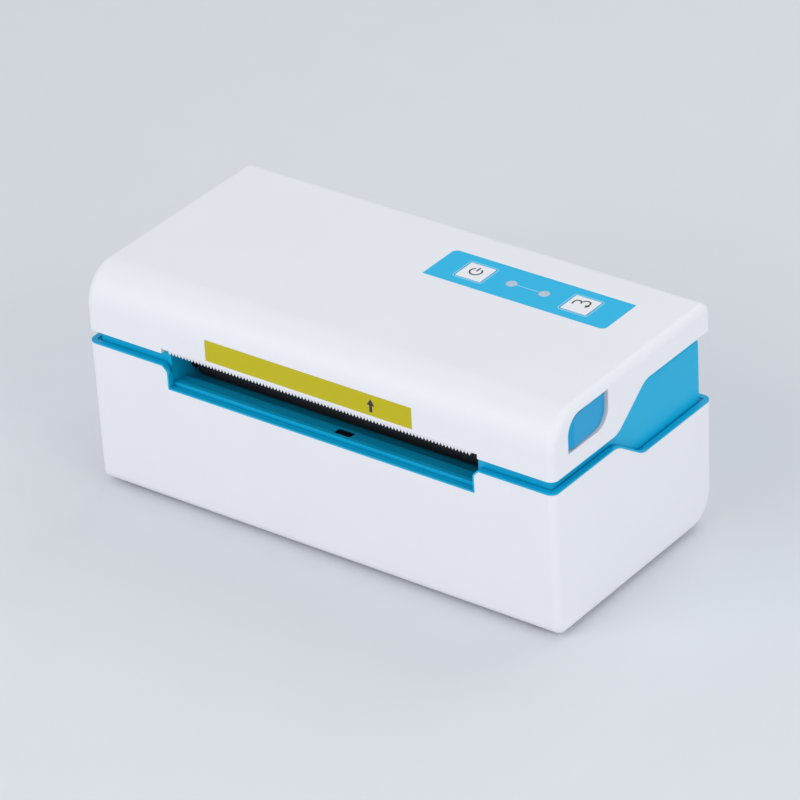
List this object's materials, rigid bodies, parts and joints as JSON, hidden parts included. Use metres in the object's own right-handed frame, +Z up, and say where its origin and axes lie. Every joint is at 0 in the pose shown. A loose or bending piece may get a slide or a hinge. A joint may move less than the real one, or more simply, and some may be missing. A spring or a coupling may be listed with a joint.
{
  "type": "thermal printer",
  "caption": "Desktop thermal label printer: white shell, blue body, hinged white lid with keys, side release buttons, saw-toothed paper exit, rubber platen and print head inside",
  "frame": {"origin": "middle of the printer's bounding box in X and Y, on the surface that it stands on", "axes": "+X to the right as seen from the front, +Y to the rear, +Z up"},
  "size_m": [0.182, 0.088, 0.0798],
  "materials": {
    "white_shell": "moulded white ABS, fine satin grain",
    "white_lid": "moulded white ABS, smooth satin",
    "white_tear_bar": "moulded white ABS, smooth",
    "blue_body": "moulded blue ABS, satin",
    "blue_liner": "moulded blue ABS, satin",
    "blue_button": "moulded blue ABS, satin",
    "blue_panel": "printed polyester film, satin",
    "key_white": "moulded white ABS, satin",
    "lamp_lens": "frosted clear polycarbonate",
    "yellow_print": "printed polyester film, satin",
    "sensor_black": "black infrared-pass polycarbonate, polished",
    "foot_rubber": "moulded black rubber, matt",
    "roller_rubber": "ground black silicone rubber, matt",
    "ground_steel": "ground steel rod",
    "black_screw": "black oxide steel",
    "zinc_screw": "zinc plated steel",
    "spring_steel": "drawn spring wire",
    "gear_acetal": "moulded natural acetal",
    "bush_acetal": "moulded black acetal",
    "pinion_brass": "hobbed brass",
    "bracket_steel": "stamped galvanised sheet steel",
    "motor_steel": "black painted steel laminations and end bells",
    "board_green": "glass fibre laminate with green solder mask",
    "chip_black": "moulded black epoxy",
    "socket_metal": "nickel plated shell",
    "guide_blue": "moulded blue ABS, satin",
    "head_ceramic": "glazed alumina ceramic",
    "sink_aluminium": "extruded aluminium, plain"
  },
  "bodies": {
    "base": {"lower_shell": "white_shell", "rubber_feet": "foot_rubber", "case_screws": "black_screw", "base_body": "blue_body", "exit_sensor_window": "sensor_black", "paper_sensor": "sensor_black", "inlet_rail": "blue_body", "platen_bushes": "bush_acetal", "motor_bracket": "bracket_steel", "motor": "motor_steel", "motor_screws": "zinc_screw", "idler_stud": "ground_steel", "main_board": "board_green", "board_screws": "zinc_screw", "board_components": "chip_black", "data_socket": "socket_metal", "power_socket": "chip_black", "hinge_pins": "ground_steel"},
    "platen": {"platen_shaft": "ground_steel", "platen_roller": "roller_rubber", "platen_gear": "gear_acetal"},
    "idler": {"idler_gear": "gear_acetal"},
    "pinion": {"motor_shaft": "ground_steel", "motor_pinion": "pinion_brass"},
    "guide_left": {"guide_left": "guide_blue"},
    "guide_right": {"guide_right": "guide_blue"},
    "guide_pinion": {"guide_pinion": "gear_acetal"},
    "lid": {"lid_cover": "white_lid", "yellow_strip": "yellow_print", "tear_bar": "white_tear_bar", "tear_bar_screws": "zinc_screw", "lid_liner": "blue_liner", "lid_screws": "zinc_screw", "control_panel": "blue_panel", "indicator_lenses": "lamp_lens", "key_board": "board_green", "key_board_parts": "chip_black", "head_shaft": "ground_steel", "head_springs": "spring_steel", "release_spring_left": "spring_steel", "release_spring_right": "spring_steel"},
    "power_key": {"power_key": "key_white"},
    "feed_key": {"feed_key": "key_white"},
    "release_left": {"release_button_left": "blue_button"},
    "release_right": {"release_button_right": "blue_button"},
    "head": {"head_bracket": "bracket_steel", "print_head_strip": "head_ceramic", "heat_sink": "sink_aluminium"}
  },
  "joints": [
    {"name": "lid_hinge", "type": "hinge", "parent": "base", "child": "lid", "pos_m": [0, 0.0391, 0.065], "axis": [-1, 0, 0], "range_deg": [0, 80]},
    {"name": "platen_spin", "type": "hinge", "parent": "base", "child": "platen", "pos_m": [0.001, -0.027, 0.05], "axis": [1, 0, 0], "continuous": true},
    {"name": "idler_spin", "type": "hinge", "parent": "base", "child": "idler", "pos_m": [-0.067, -0.01419, 0.03336], "axis": [1, 0, 0], "continuous": true},
    {"name": "pinion_spin", "type": "hinge", "parent": "base", "child": "pinion", "pos_m": [-0.067, 0.004, 0.03], "axis": [1, 0, 0], "continuous": true},
    {"name": "guide_left_slide", "type": "slide", "parent": "base", "child": "guide_left", "axis": [1, 0, 0], "range_m": [0, 0.03]},
    {"name": "guide_right_slide", "type": "slide", "parent": "base", "child": "guide_right", "axis": [-1, 0, 0], "range_m": [0, 0.03]},
    {"name": "guide_pinion_spin", "type": "hinge", "parent": "base", "child": "guide_pinion", "pos_m": [0.001, 0.014, 0.0515], "axis": [0, 0, 1], "range_deg": [0, 272.94]},
    {"name": "release_left_slide", "type": "slide", "parent": "lid", "child": "release_left", "axis": [1, 0, 0], "range_m": [0, 0.0025], "stiffness_N_per_m": 400, "springref_m": -0.002, "deforming": ["release_spring_left"]},
    {"name": "release_right_slide", "type": "slide", "parent": "lid", "child": "release_right", "axis": [-1, 0, 0], "range_m": [0, 0.0025], "stiffness_N_per_m": 400, "springref_m": -0.002, "deforming": ["release_spring_right"]},
    {"name": "power_key_press", "type": "slide", "parent": "lid", "child": "power_key", "axis": [0, 0, -1], "range_m": [0, 0.0004], "stiffness_N_per_m": 1500, "springref_m": -0.0004},
    {"name": "feed_key_press", "type": "slide", "parent": "lid", "child": "feed_key", "axis": [0, 0, -1], "range_m": [0, 0.0004], "stiffness_N_per_m": 1500, "springref_m": -0.0004},
    {"name": "head_pivot", "type": "hinge", "parent": "lid", "child": "head", "pos_m": [0.001, -0.0125, 0.06], "axis": [-1, 0, 0], "range_deg": [0, 3], "stiffness_Nm_per_rad": 0.5, "springref_deg": -5.73, "deforming": ["head_springs"]}
  ],
  "couplings": [
    {"joint": "idler_spin", "follows": "platen_spin", "ratio": -0.5},
    {"joint": "pinion_spin", "follows": "platen_spin", "ratio": 1.5556},
    {"joint": "guide_right_slide", "follows": "guide_left_slide", "ratio": 1},
    {"joint": "guide_pinion_spin", "follows": "guide_left_slide", "rad_per_m": 158.73}
  ]
}
